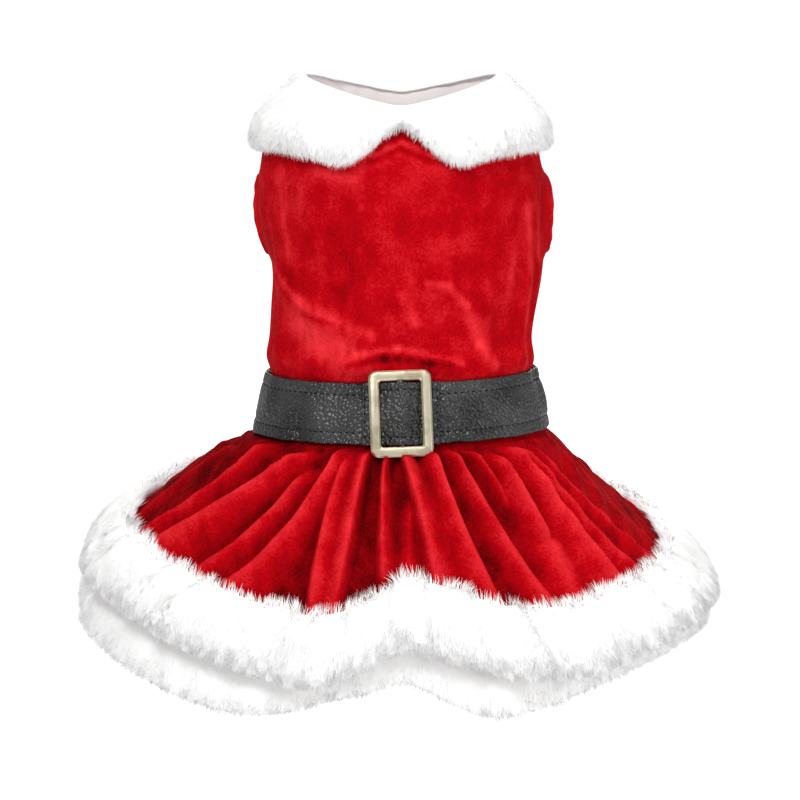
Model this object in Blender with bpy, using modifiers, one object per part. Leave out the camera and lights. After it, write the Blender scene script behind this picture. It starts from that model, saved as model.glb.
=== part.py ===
# A dog dress in red velvet with white fur trim, a leather belt and a brass buckle.
# It hangs filled out as it is worn: +Z towards the neck, -Y the side on show, the dog's back.
# The origin is the centre of the neck opening. Lengths are in metres and angles in degrees,
# counted from the middle of the side on show (0) towards +X (90) and round to the belly (180).

import math

import bmesh
import bpy
from mathutils import Matrix, Vector

# Torso
NECK_HALF_WIDTH = 0.053
NECK_HALF_DEPTH = 0.043
NECK_RISE = 0.010          # the neck edge at the sides, above the opening's centre
NECK_DIP_BACK = 0.0115     # how far the V on the side on show dips below the sides
NECK_DIP_BELLY = 0.014
NECK_ROUND = 0.08          # how round the bottom of each V is
CHEST_HALF_WIDTH = 0.0775
CHEST_HALF_DEPTH = 0.063
WAIST_HALF_WIDTH = 0.0705
WAIST_HALF_DEPTH = 0.057
BODICE_LENGTH = 0.178      # opening's centre down to the waist seam
FOLDS_FROM = 0.0125        # below the opening's centre, under the collar's fur
FOLDS_RISE = 0.0178        # the folds rise and run out over this length

# Leg openings, just round the sides towards the belly
LEG_HALF_WIDTH = 0.018
LEG_HALF_HEIGHT = 0.021
LEG_ANGLE = 107.0
LEG_DROP = 0.068
LEG_LIP = 0.0045
LEG_LIP_WIDTH = 0.008

# Walls and clearances
VELVET_WALL = 0.0014
GAP = 0.0004
FUR_SEAT = 0.0008          # between a trim's backing and the velvet it is sewn on
COLLAR_SEAT = 0.0012

# Belt, tab and buckle
BELT_HEIGHT = 0.0325
SEAM_UNDER_BELT = 0.0262   # from the belt's upper edge down to the waist seam under it
BELT_WALL = 0.0022
BELT_FLARE = 0.0077        # how much wider each way the belt is at its lower edge
BELT_TILT = 0.018          # rise towards +X for each metre across
SKIRT_TUCK = 0.7           # share of the belt's height that the skirts reach up under it
SKIRT_START = 0.0013       # where the upper tier turns out, below the belt's lower edge
TAB_WALL = 0.0018
TAB_HEIGHT = 0.0335
TAB_HALF_LENGTH = 0.021
BUCKLE_WIDTH = 0.0338
BUCKLE_HEIGHT = 0.047
BUCKLE_BAR = 0.0056
BUCKLE_DEPTH = 0.0034
BUCKLE_CORNER = 0.0046
BUCKLE_INNER_CORNER = 0.0014
BUCKLE_CHAMFER = 0.0011
BUCKLE_LEAN = 1.2
BUCKLE_RIDE = 0.0005       # the frame's back, outwards from the tab's face beside it
CENTRE_BAR_RADIUS = 0.0015

# Skirts
SKIRT_HALF_WIDTH = 0.169
SKIRT_HALF_DEPTH = 0.097
SKIRT_DROP = 0.122         # belt's lower edge to the lowest cloth of the upper tier
FRONT_PUFF = 1.35          # 1 is a straight cone, more rounds the top of the skirt
LEFT_PUFF = 1.42
RIGHT_PUFF = 1.02
BELLY_PUFF = 0.88
BELLY_TURN = 0.45          # the belly's puff is reached where the cloth has turned this far round
UNDER_INSET = 0.013        # how far the under tier lies inside the upper one at the hem
FOLD_HEIGHT = 0.0068
UNDER_SHOW = 0.0270        # most of the under tier that shows below the upper one
FOLD_ENDS = 0.18           # share of the way down in which a fold rises or runs out
FOLD_CALM = 0.55           # share of a fold's height that the fur holds down at the hem
PAST_STEP = 0.1            # share past the hem over which the cloth's run is measured
UP_STEP = 0.01             # steps in which a length is measured up the cloth
LEAST_SHARE = 0.06         # no trim reaches above this share of the way down

# Fur
FUR_DEPTH = 0.0105
TRIM_WIDTH = 0.0415
TRIM_OVERHANG = 0.0055
UNDER_TRIM_WIDTH = 0.034
UNDER_FUR_DEPTH = 0.0079
COLLAR_FALL = 0.0385        # neck edge to the lobes' lower edge, measured down
COLLAR_TOP = 0.0030        # how far the fur stands above the neck edge
TUFT = 0.0042
LOCK_RELIEF = 0.16         # share of the pile's depth that a parting between locks takes away
LOCK_CREST = 0.75
LOCK_PARTING = 0.08
LOCK_SPREAD = 0.22
LOCK_RHYTHM = 2.3          # radians from one lock to the next, so that their heights differ

# Facets
BODY_STATIONS = 52
SKIRT_STATIONS = 84
CORNER_STATIONS = 4
TAB_STATIONS = 14
SHARP_EDGE = 40            # degrees between two faces that don't shade as one

BELT_TOP = BODICE_LENGTH - SEAM_UNDER_BELT
STACK = 2 * VELVET_WALL + 3 * GAP   # two skirts and their gaps, between bodice and belt

# drop: share of BODICE_LENGTH below the opening's centre
# fill: 0 the neck's size, 1 the chest's, 2 the waist's
TORSO = (
    {"drop": -0.080, "fill": -0.15},
    {"drop": -0.056, "fill": 0.00},
    {"drop": -0.010, "fill": 0.27},
    {"drop": 0.050, "fill": 0.55},
    {"drop": 0.136, "fill": 0.84},
    {"drop": 0.239, "fill": 0.98},
    {"drop": 0.352, "fill": 1.00},
    {"drop": 0.489, "fill": 1.25},
    {"drop": 0.625, "fill": 1.56},
    {"drop": 0.750, "fill": 1.84},
    {"drop": 0.845, "fill": 2.00},
    {"drop": 1.000, "fill": 2.00},
)

# A fold runs straight from one place to another on the bodice.
# drop: share of BODICE_LENGTH; width, height: shares of the leg opening's lip
BODICE_FOLDS = (
    {"angle": -66, "drop": 0.55, "to_angle": -14, "to_drop": 0.75, "width": 1.2, "height": 0.62},
    {"angle": -70, "drop": 0.76, "to_angle": -30, "to_drop": 0.88, "width": 1.0, "height": 0.40},
    {"angle": 14, "drop": 0.55, "to_angle": 36, "to_drop": 0.64, "width": 1.0, "height": 0.45},
    {"angle": 36, "drop": 0.64, "to_angle": 44, "to_drop": 0.80, "width": 1.0, "height": 0.45},
    {"angle": -24, "drop": 0.82, "to_angle": 30, "to_drop": 0.82, "width": 0.9, "height": 0.42},
    {"angle": 66, "drop": 0.52, "to_angle": 62, "to_drop": 0.86, "width": 1.0, "height": 0.45},
    {"angle": 140, "drop": 0.60, "to_angle": 215, "to_drop": 0.74, "width": 1.2, "height": 0.45},
)

# The collar's lower edge: share of COLLAR_FALL at each angle either way from the notch
COLLAR_EDGE = (
    {"angle": 0, "fall": 0.22},
    {"angle": 7, "fall": 0.43},
    {"angle": 14, "fall": 0.70},
    {"angle": 21, "fall": 0.86},
    {"angle": 28, "fall": 0.90},
    {"angle": 45, "fall": 0.91},
    {"angle": 90, "fall": 1.00},
    {"angle": 180, "fall": 0.92},
)

# The upper tier's hem, round the dress: share of SKIRT_DROP
HEM = (
    {"angle": -180, "drop": 0.32},
    {"angle": -150, "drop": 0.33},
    {"angle": -125, "drop": 0.37},
    {"angle": -105, "drop": 0.47},
    {"angle": -90, "drop": 0.59},
    {"angle": -66, "drop": 0.69},
    {"angle": -47, "drop": 0.82},
    {"angle": -30, "drop": 0.95},
    {"angle": -17, "drop": 1.00},
    {"angle": -8, "drop": 0.95},
    {"angle": 1, "drop": 0.84},
    {"angle": 10, "drop": 0.89},
    {"angle": 21, "drop": 0.97},
    {"angle": 30, "drop": 0.99},
    {"angle": 40, "drop": 0.96},
    {"angle": 52, "drop": 0.90},
    {"angle": 68, "drop": 0.82},
    {"angle": 92, "drop": 0.74},
    {"angle": 105, "drop": 0.65},
    {"angle": 125, "drop": 0.51},
    {"angle": 150, "drop": 0.38},
)

# How much of the under tier shows: share of UNDER_SHOW
UNDER_HEM = (
    {"angle": -180, "show": 0.45},
    {"angle": -110, "show": 0.60},
    {"angle": -66, "show": 0.95},
    {"angle": -44, "show": 1.00},
    {"angle": -28, "show": 0.80},
    {"angle": -14, "show": 0.36},
    {"angle": -4, "show": 0.50},
    {"angle": 6, "show": 0.80},
    {"angle": 15, "show": 0.95},
    {"angle": 24, "show": 0.66},
    {"angle": 38, "show": 0.32},
    {"angle": 60, "show": 0.22},
    {"angle": 90, "show": 0.24},
    {"angle": 130, "show": 0.45},
)

# Folds of the skirt on the side on show, from the belt to the hem.
# width: degrees to each side; height: share of FOLD_HEIGHT; start, end: shares of the way down
SKIRT_FOLDS = (
    {"angle": -62, "hem_angle": -78, "width": 5.5, "height": 0.80, "start": 0.05, "end": 0.85},
    {"angle": -42, "hem_angle": -57, "width": 5.0, "height": 0.80, "start": 0.05, "end": 1.00},
    {"angle": -30, "hem_angle": -40, "width": 4.5, "height": 0.60, "start": 0.15, "end": 1.00},
    {"angle": -22, "hem_angle": -26, "width": 4.5, "height": 0.85, "start": 0.04, "end": 0.75},
    {"angle": -17, "hem_angle": -15, "width": 4.5, "height": 0.75, "start": 0.12, "end": 1.00},
    {"angle": -5, "hem_angle": -3, "width": 3.6, "height": 1.00, "start": 0.10, "end": 0.95},
    {"angle": 3, "hem_angle": 8, "width": 4.0, "height": 0.70, "start": 0.10, "end": 1.00},
    {"angle": 10, "hem_angle": 18, "width": 4.5, "height": -0.55, "start": 0.10, "end": 1.00},
    {"angle": 18, "hem_angle": 29, "width": 4.5, "height": 0.85, "start": 0.05, "end": 1.00},
    {"angle": 36, "hem_angle": 38, "width": 4.5, "height": 0.90, "start": 0.06, "end": 0.60},
    {"angle": 45, "hem_angle": 48, "width": 4.5, "height": 0.65, "start": 0.05, "end": 1.00},
    {"angle": 52, "hem_angle": 62, "width": 5.0, "height": 0.70, "start": 0.05, "end": 0.95},
    {"angle": 74, "hem_angle": 82, "width": 5.5, "height": 0.65, "start": 0.08, "end": 0.90},
)
BELLY_FOLDS_FROM = 102
BELLY_FOLDS_TO = 258
BELLY_FOLD_STEP = 19.5
BELLY_FOLD = {"width": 6.0, "height": 0.6, "start": 0.08, "end": 1.0}

# Rows of cloth: the skirts' from the belt to the hem, the bodice's from its neck to the belt
UPPER_ROWS = (0.0, 0.12, 0.29, 0.47, 0.65, 0.83, 1.0)
UNDER_ROWS = (0.0, 0.30, 0.65, 0.85, 1.0)
BODICE_ROWS = (0.0, 0.10, 0.22, 0.35, 0.48, 0.61, 0.74, 0.87, 1.0)

# A fur band's section: along the band from its upper to its lower edge, and its depth.
# side in: share of the band's width, on the backing; side out: on the pile
TRIM_SECTION = (
    {"side": "in", "along": 0.04, "depth": 0.0},
    {"side": "in", "along": 0.50, "depth": 0.0},
    {"side": "in", "along": 0.98, "depth": 0.0},
    {"side": "out", "along": 1.12, "depth": 0.22},
    {"side": "out", "along": 0.90, "depth": 0.86},
    {"side": "out", "along": 0.52, "depth": 1.0},
    {"side": "out", "along": 0.14, "depth": 0.82},
    {"side": "out", "along": -0.03, "depth": 0.22},
)


def read(rows, key, x, value):
    """The value of a table at x: a smooth curve through its rows."""
    xs = [row[key] for row in rows]
    ys = [row[value] for row in rows]
    if x <= xs[0]:
        return ys[0] + (x - xs[0]) * (ys[1] - ys[0]) / (xs[1] - xs[0])
    if x >= xs[-1]:
        return ys[-1]
    i = max(k for k in range(len(xs) - 1) if xs[k] <= x)
    run = xs[i + 1] - xs[i]
    share = (x - xs[i]) / run
    slopes = []
    for k in (i, i + 1):
        before, after = max(k - 1, 0), min(k + 1, len(xs) - 1)
        slopes.append((ys[after] - ys[before]) / (xs[after] - xs[before]) * run)
    square, cube = share**2, share**3
    return (
        (2 * cube - 3 * square + 1) * ys[i]
        + (cube - 2 * square + share) * slopes[0]
        + (3 * square - 2 * cube) * ys[i + 1]
        + (cube - square) * slopes[1]
    )


def read_round(rows, angle, value):
    """The same for a table that goes round the dress, which closes on itself."""
    angle = (angle + 180) % 360 - 180
    first = dict(rows[-1], angle=rows[-1]["angle"] - 360)
    last = dict(rows[0], angle=rows[0]["angle"] + 360)
    after = dict(rows[1], angle=rows[1]["angle"] + 360)
    return read((first, *rows, last, after), "angle", angle, value)


def ring(angle, half_width, half_depth, z):
    turn = math.radians(angle)
    return Vector((half_width * math.sin(turn), -half_depth * math.cos(turn), z))


def bell(x):
    return math.exp(-x * x)


def ramp(share, start, end):
    """0 at the start and at the end of a fold, 1 along it."""
    rise = min(max((share - start) / FOLD_ENDS, 0), 1)
    fall = min(max((end - share) / FOLD_ENDS, 0), 1) if end < 1 else 1
    return rise * rise * (3 - 2 * rise) * fall


def lock(station):
    """How far a lock of fur stands out, from 0 in a parting to 1, never twice the same in a row."""
    height = LOCK_CREST if station % 2 == 0 else LOCK_PARTING
    return height + LOCK_SPREAD * math.sin(LOCK_RHYTHM * station)


def frame_at(surface, angle, along, step=0.002):
    """A surface's point, its outward normal and its direction down."""
    point = surface(angle, along)
    across = surface(angle + 0.5, along) - surface(angle - 0.5, along)
    down = (surface(angle, along + step) - surface(angle, along - step)).normalized()
    return point, down.cross(across).normalized(), down


def torso_sizes(z):
    fill = read(TORSO, "drop", -z / BODICE_LENGTH, "fill")
    if fill <= 1:
        first = (NECK_HALF_WIDTH, NECK_HALF_DEPTH)
        second = (CHEST_HALF_WIDTH, CHEST_HALF_DEPTH)
        share = fill
    else:
        first = (CHEST_HALF_WIDTH, CHEST_HALF_DEPTH)
        second = (WAIST_HALF_WIDTH, WAIST_HALF_DEPTH)
        share = fill - 1
    return [a + (b - a) * share for a, b in zip(first, second)]


def fold_on_bodice(angle, z):
    """How far the velvet stands out in folds at a place on the bodice."""
    height = 0.0
    for fold in BODICE_FOLDS:
        turned = (angle - fold["angle"] + 180) % 360 - 180
        here = Vector((math.radians(turned) * CHEST_HALF_WIDTH, -z))
        start = Vector((0, fold["drop"] * BODICE_LENGTH))
        run_across = math.radians(fold["to_angle"] - fold["angle"]) * CHEST_HALF_WIDTH
        end = Vector((run_across, fold["to_drop"] * BODICE_LENGTH))
        run = end - start
        share = min(max((here - start).dot(run) / run.length_squared, 0), 1)
        away = (here - start - run * share).length / (fold["width"] * LEG_LIP_WIDTH)
        height += fold["height"] * LEG_LIP * bell(away)
    return height


def leg_lip(angle, z):
    """How far the rim of a leg opening stands out."""
    across = math.radians(abs(angle) - LEG_ANGLE) * CHEST_HALF_WIDTH / LEG_HALF_WIDTH
    down = (-z - LEG_DROP) / LEG_HALF_HEIGHT
    away = (math.hypot(across, down) - 1) * LEG_HALF_WIDTH / LEG_LIP_WIDTH
    return LEG_LIP * bell(away)


def torso(angle, z):
    """The bodice's outer face. Only the cloth above the belt has folds."""
    angle = (angle + 180) % 360 - 180
    half_width, half_depth = torso_sizes(z)
    point = ring(angle, half_width, half_depth, z)
    outward = ring(angle, half_depth, half_width, 0).normalized()
    calm = min(max((z + BELT_TOP - GAP) / FOLDS_RISE, 0), 1)
    collared = min(max((-z - FOLDS_FROM) / FOLDS_RISE, 0), 1)
    out = leg_lip(angle, z) + fold_on_bodice(angle, z) * calm * collared
    return point + outward * out


def neck_edge(angle):
    """Height of the neck edge: a V on each side, the belly's a little deeper."""
    side = abs(math.sin(math.radians(angle)))
    dip = NECK_DIP_BACK if math.cos(math.radians(angle)) > 0 else NECK_DIP_BELLY
    return NECK_RISE - dip * (1 - math.hypot(side, NECK_ROUND) / math.hypot(1, NECK_ROUND))


def belt_inner(angle, share):
    """The belt's inner face, share 0 at its upper edge and 1 at its lower."""
    out = STACK - BELT_FLARE * (1 - SKIRT_TUCK) + BELT_FLARE * share
    z = -BELT_TOP - BELT_HEIGHT * share
    point = ring(angle, WAIST_HALF_WIDTH + out, WAIST_HALF_DEPTH + out, z)
    point.z += BELT_TILT * point.x
    return point


def inside(point, distance):
    """A point moved level towards the dress's axis."""
    level = Vector((point.x, point.y, 0))
    return point - level.normalized() * distance


def skirt_top(angle, depth):
    """Where a tier leaves the belt, this far inside the belt's inner face."""
    point = inside(belt_inner(angle, 1), depth)
    point.z -= SKIRT_START + depth - GAP
    return point


def hem_drop(angle):
    return SKIRT_DROP * read_round(HEM, angle, "drop")


def skirt_form(angle, share):
    """The upper tier's outer face without its folds: 0 at the belt, 1 at the hem and past it."""
    waist = skirt_top(angle, GAP)
    hem = ring(angle, SKIRT_HALF_WIDTH, SKIRT_HALF_DEPTH, waist.z - hem_drop(angle))
    turn = math.radians(angle)
    facing = abs(math.sin(turn)) if math.cos(turn) > 0 else 1
    side_puff = (LEFT_PUFF + RIGHT_PUFF) / 2 + (RIGHT_PUFF - LEFT_PUFF) / 2 * math.sin(turn)
    puff = FRONT_PUFF + (side_puff - FRONT_PUFF) * facing**2
    behind = min(max(-math.cos(turn) / BELLY_TURN, 0), 1)
    puff += (BELLY_PUFF - puff) * behind * behind * (3 - 2 * behind)
    point = waist.lerp(hem, share)
    point.z = waist.z + (hem.z - waist.z) * max(share, 0) ** puff
    return point


def folds_of_skirt():
    folds = list(SKIRT_FOLDS)
    angle = BELLY_FOLDS_FROM
    while angle <= BELLY_FOLDS_TO:
        folds.append(dict(BELLY_FOLD, angle=angle, hem_angle=angle))
        angle += BELLY_FOLD_STEP
    return folds


def fold_on_skirt(angle, share, folds):
    height = 0.0
    for fold in folds:
        middle = fold["angle"] + (fold["hem_angle"] - fold["angle"]) * share
        away = ((angle - middle + 180) % 360 - 180) / fold["width"]
        height += fold["height"] * bell(away) * ramp(share, fold["start"], fold["end"])
    return FOLD_HEIGHT * height


def upper_tier(angle, share):
    """The upper tier's outer face. Its folds calm down under the fur."""
    _, normal, _ = frame_at(skirt_form, angle, max(share, 0.01))
    out = fold_on_skirt(angle, share, UPPER_FOLDS) * (1 - FOLD_CALM * max(share, 0) ** 3)
    return skirt_form(angle, share) + normal * out


def under_inset(share):
    return VELVET_WALL + GAP + (UNDER_INSET - VELVET_WALL - GAP) * min(share, 1)


def under_tier(angle, share):
    """The under tier's outer face, a growing distance inside the upper one's."""
    point, normal, _ = frame_at(skirt_form, angle, max(share, 0.01))
    return point - normal * under_inset(share)


def past_hem(angle, distance):
    """The share at which the skirt's form is this far past the upper hem, along the cloth."""
    run = (skirt_form(angle, 1 + PAST_STEP) - skirt_form(angle, 1)).length
    return 1 + PAST_STEP * distance / run


def under_end(angle):
    return past_hem(angle, UNDER_SHOW * read_round(UNDER_HEM, angle, "show"))


def share_above(surface, angle, end, distance):
    """The share that lies this far up the cloth from the share at its end."""
    share, length = end, 0.0
    last = surface(angle, end)
    while length < distance and share > LEAST_SHARE:
        share -= UP_STEP
        point = surface(angle, share)
        length += (point - last).length
        last = point
    return share


def loft(name, rows, closed_section=False):
    """Quads between rings of points; a closed section joins the last ring to the first."""
    mesh = bpy.data.meshes.new(name)
    bm = bmesh.new()
    rings = [[bm.verts.new(point) for point in row] for row in rows]
    pairs = list(zip(rings, rings[1:]))
    if closed_section:
        pairs.append((rings[-1], rings[0]))
    for upper, lower in pairs:
        count = len(upper)
        for i in range(count):
            j = (i + 1) % count
            bm.faces.new((upper[i], lower[i], lower[j], upper[j]))
    bmesh.ops.recalc_face_normals(bm, faces=bm.faces)
    bm.to_mesh(mesh)
    bm.free()
    return mesh


def stations(count):
    return [360 * i / count - 180 for i in range(count)]


def add(name, mesh, material):
    obj = bpy.data.objects.new(name, mesh)
    obj.data.materials.append(material)
    obj.data.shade_smooth()
    obj.data.set_sharp_from_angle(angle=math.radians(SHARP_EDGE))
    dress.objects.link(obj)
    return obj


def wall(obj, thickness):
    """Cloth or leather: the surface is its outer face."""
    solidify = obj.modifiers.new("wall", "SOLIDIFY")
    solidify.thickness = thickness
    solidify.offset = -1
    solidify.use_even_offset = True
    return solidify


def material(name, colour, roughness, metallic=0.0):
    made = bpy.data.materials.new(name)
    made.use_nodes = True
    shader = made.node_tree.nodes["Principled BSDF"]
    shader.inputs["Base Color"].default_value = (*colour, 1)
    shader.inputs["Roughness"].default_value = roughness
    shader.inputs["Metallic"].default_value = metallic
    return made


def make_bodice():
    rows = []
    for share in BODICE_ROWS:
        row = []
        for angle in stations(BODY_STATIONS):
            top = neck_edge(angle)
            row.append(torso(angle, top + (-BELT_TOP - top) * share))
        rows.append(row)
    rows.append([torso(angle, -BODICE_LENGTH) for angle in stations(BODY_STATIONS)])
    bodice = add("bodice", loft("bodice", rows), velvet)
    wall(bodice, VELVET_WALL)
    for side, name in ((-1, "leg_cutter_left"), (1, "leg_cutter_right")):
        opening = bodice.modifiers.new(name, "BOOLEAN")
        opening.operation = "DIFFERENCE"
        opening.object = leg_cutter(name, side)


def leg_cutter(name, side):
    """An oval rod through one leg opening."""
    mesh = bpy.data.meshes.new(name)
    bm = bmesh.new()
    bmesh.ops.create_cone(
        bm, segments=20, radius1=1, radius2=1, depth=CHEST_HALF_WIDTH, cap_ends=True
    )
    bmesh.ops.scale(bm, vec=(LEG_HALF_WIDTH, LEG_HALF_HEIGHT, 1), verts=bm.verts)
    bm.to_mesh(mesh)
    bm.free()
    cutter = bpy.data.objects.new(name, mesh)
    outward = ring(side * LEG_ANGLE, CHEST_HALF_DEPTH, CHEST_HALF_WIDTH, 0).normalized()
    cutter.location = ring(side * LEG_ANGLE, CHEST_HALF_WIDTH, CHEST_HALF_DEPTH, -LEG_DROP)
    cutter.rotation_euler = outward.to_track_quat("Z", "Y").to_euler()
    cutter.hide_render = True
    cutter.display_type = "WIRE"
    cutters.objects.link(cutter)
    return cutter


def make_collar():
    """A fur ring on the bodice's shoulders, from above the neck edge to the lobes' edge."""
    rows = []
    for part in TRIM_SECTION:
        row = []
        for station, angle in enumerate(stations(BODY_STATIONS)):
            top = neck_edge(angle)
            fall = COLLAR_FALL * read(COLLAR_EDGE, "angle", abs(angle), "fall")
            along, depth = part["along"], COLLAR_SEAT
            if part["side"] == "out":
                depth += FUR_DEPTH * part["depth"] * (1 - LOCK_RELIEF * (1 - lock(station)))
            z = top - fall * along
            if along > 1:
                z = top - fall - TUFT * (lock(station) - 0.5)
            if along < 0:
                z = top + COLLAR_TOP
            point, normal, _ = frame_at(torso, angle, z)
            if normal.dot(Vector((point.x, point.y, 0))) < 0:
                normal = -normal
            row.append(point + normal * depth)
        rows.append(row)
    add("fur_collar", loft("fur_collar", rows, closed_section=True), fur)


def make_trim(name, tier, end_of, width, depth):
    """A fur band on a tier's hem, its pile in locks that hang past the cloth."""
    rows = [[] for _ in TRIM_SECTION]
    for station, angle in enumerate(stations(SKIRT_STATIONS)):
        end = end_of(angle)
        start = share_above(tier, angle, end, width - TRIM_OVERHANG)
        stand = lock(station)
        for row, part in zip(rows, TRIM_SECTION):
            share = start + (end - start) * part["along"]
            slide, out = 0.0, FUR_SEAT
            if part["along"] > 1:
                share = end
                slide = TRIM_OVERHANG + TUFT * (stand - 0.5)
            if part["along"] < 0:
                slide = -TUFT * stand
                share = start
            if part["side"] == "out":
                out += depth * part["depth"] * (1 - LOCK_RELIEF * (1 - stand))
            point, normal, down = frame_at(tier, angle, share)
            row.append(point + normal * out + down * slide)
    add(name, loft(name, rows, closed_section=True), fur)


def make_tier(name, tier, shares, end_of, layer):
    """A tier: one row up under the belt, then rows down to its hem."""
    depth = GAP + layer * (VELVET_WALL + GAP)
    top, corner = [], []
    for angle in stations(SKIRT_STATIONS):
        top.append(inside(belt_inner(angle, 1 - SKIRT_TUCK), depth))
        corner.append(skirt_top(angle, depth))
    rows = [top, corner]
    for share in shares[1:]:
        rows.append([tier(angle, share * end_of(angle)) for angle in stations(SKIRT_STATIONS)])
    wall(add(name, loft(name, rows), velvet), VELVET_WALL)


def make_belt():
    rows = []
    for share in (0.0, 1.0):
        row = []
        for angle in stations(SKIRT_STATIONS):
            row.append(inside(belt_inner(angle, share), -BELT_WALL))
        rows.append(row)
    wall(add("belt", loft("belt", rows), leather), BELT_WALL)


def belt_front(across, up):
    """A point on the belt's outer face near its front, from the middle of its height."""
    share = 0.5 - up / BELT_HEIGHT
    half_width = inside(belt_inner(90, share), -BELT_WALL).x
    return inside(belt_inner(math.degrees(math.asin(across / half_width)), share), -BELT_WALL)


def front_axes():
    """The belt's middle point on the side on show, with axes across, up it and out of it."""
    middle = belt_front(0, 0)
    up = (belt_front(0, BELT_HEIGHT / 4) - middle).normalized()
    across = Vector((1, 0, BELT_TILT)).normalized()
    out = across.cross(up).normalized()
    return middle, across, out.cross(across), out


def tab_lift(across):
    """How far the tab rises over the centre bar."""
    over = 2 * CENTRE_BAR_RADIUS + GAP
    reach = BUCKLE_WIDTH / 2 - BUCKLE_BAR - GAP
    return over * max(1 - abs(across) / reach, 0)


def make_tab():
    """A strap that lies on the belt and rises over the buckle's centre bar."""
    _, _, _, out = front_axes()
    rows = []
    for up in (TAB_HEIGHT / 2, -TAB_HEIGHT / 2):
        row = []
        for i in range(TAB_STATIONS + 1):
            across = TAB_HALF_LENGTH * (2 * i / TAB_STATIONS - 1)
            lift = GAP + TAB_WALL + tab_lift(across)
            row.append(belt_front(across, up) + out * lift)
        rows.append(row)
    mesh = bpy.data.meshes.new("buckle_tab")
    bm = bmesh.new()
    upper, lower = [[bm.verts.new(point) for point in row] for row in rows]
    for i in range(TAB_STATIONS):
        bm.faces.new((upper[i], lower[i], lower[i + 1], upper[i + 1]))
    bm.to_mesh(mesh)
    bm.free()
    wall(add("buckle_tab", mesh, leather), TAB_WALL)


def rounded_corners(half_width, half_height, radius):
    """Points round a rectangle with round corners, counterclockwise."""
    points = []
    for quarter in range(4):
        centre_x = (half_width - radius) * (1 if quarter in (0, 3) else -1)
        centre_y = (half_height - radius) * (1 if quarter in (0, 1) else -1)
        for i in range(CORNER_STATIONS + 1):
            turn = math.radians(90 * (quarter + i / CORNER_STATIONS))
            x = centre_x + radius * math.cos(turn)
            y = centre_y + radius * math.sin(turn)
            points.append((x, y))
    return points


def make_buckle():
    """A rounded frame with chamfered bars and a round centre bar, cast in one."""
    bar, deep, cut = BUCKLE_BAR, BUCKLE_DEPTH, BUCKLE_CHAMFER
    section = ((0, 0), (0, deep - cut), (cut, deep), (bar - cut, deep), (bar, deep - cut), (bar, 0))
    rows = []
    for inset, height in section:
        outline = rounded_corners(
            BUCKLE_WIDTH / 2 - inset, BUCKLE_HEIGHT / 2 - inset,
            max(BUCKLE_CORNER - inset, BUCKLE_INNER_CORNER),
        )
        rows.append([Vector((x, y, height)) for x, y in outline])
    buckle = add("buckle", loft("buckle", rows, closed_section=True), brass)
    bar_across = BUCKLE_WIDTH / 2 - BUCKLE_BAR
    fall_away = bar_across**2 / (2 * WAIST_HALF_WIDTH)
    middle, across, up, out = front_axes()
    axes = Matrix((across, up, out)).transposed().to_4x4()
    lean = Matrix.Rotation(math.radians(BUCKLE_LEAN), 4, "Z")
    buckle.matrix_world = Matrix.Translation(
        middle + out * (GAP + TAB_WALL + GAP + BUCKLE_RIDE - fall_away)
    ) @ axes @ lean
    rod = bpy.data.meshes.new("centre_bar")
    bm = bmesh.new()
    bmesh.ops.create_cone(
        bm, segments=10, radius1=CENTRE_BAR_RADIUS, radius2=CENTRE_BAR_RADIUS,
        depth=BUCKLE_HEIGHT - BUCKLE_BAR, cap_ends=True,
        matrix=Matrix.Rotation(math.radians(90), 4, "X"),
    )
    bm.to_mesh(rod)
    bm.free()
    centre = bpy.data.objects.new("centre_bar", rod)
    centre.matrix_world = Matrix.Translation(middle + out * (GAP + CENTRE_BAR_RADIUS)) @ axes @ lean
    centre.hide_render = True
    centre.display_type = "WIRE"
    cutters.objects.link(centre)
    joined = buckle.modifiers.new("centre_bar", "BOOLEAN")
    joined.operation = "UNION"
    joined.object = centre


for old in list(bpy.data.objects):
    bpy.data.objects.remove(old, do_unlink=True)

dress = bpy.data.collections.new("dog_dress")
cutters = bpy.data.collections.new("cutters")
bpy.context.scene.collection.children.link(dress)
bpy.context.scene.collection.children.link(cutters)

velvet = material("red_velvet", (0.55, 0.005, 0.012), 0.75)
fur = material("white_fur", (0.92, 0.91, 0.89), 0.9)
leather = material("black_leather", (0.03, 0.03, 0.032), 0.45)
brass = material("pale_brass", (0.66, 0.60, 0.42), 0.3, metallic=1.0)

UPPER_FOLDS = folds_of_skirt()

make_bodice()
make_collar()
make_belt()
make_tab()
make_buckle()
make_tier("skirt_upper", upper_tier, UPPER_ROWS, lambda angle: 1.0, 0)
make_tier("skirt_under", under_tier, UNDER_ROWS, under_end, 1)
make_trim("fur_trim_upper", upper_tier, lambda angle: 1.0, TRIM_WIDTH, FUR_DEPTH)
make_trim("fur_trim_under", under_tier, under_end, UNDER_TRIM_WIDTH, UNDER_FUR_DEPTH)
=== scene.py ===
# The looks of a dog dress: red velvet, white fur, black leather and pale brass.
# Metres; +Z towards the neck, -Y the side on show. Angles are degrees round the dress,
# 0 in the middle of the side on show, 90 at +X, 180 in the middle of the belly side.

import math

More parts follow.
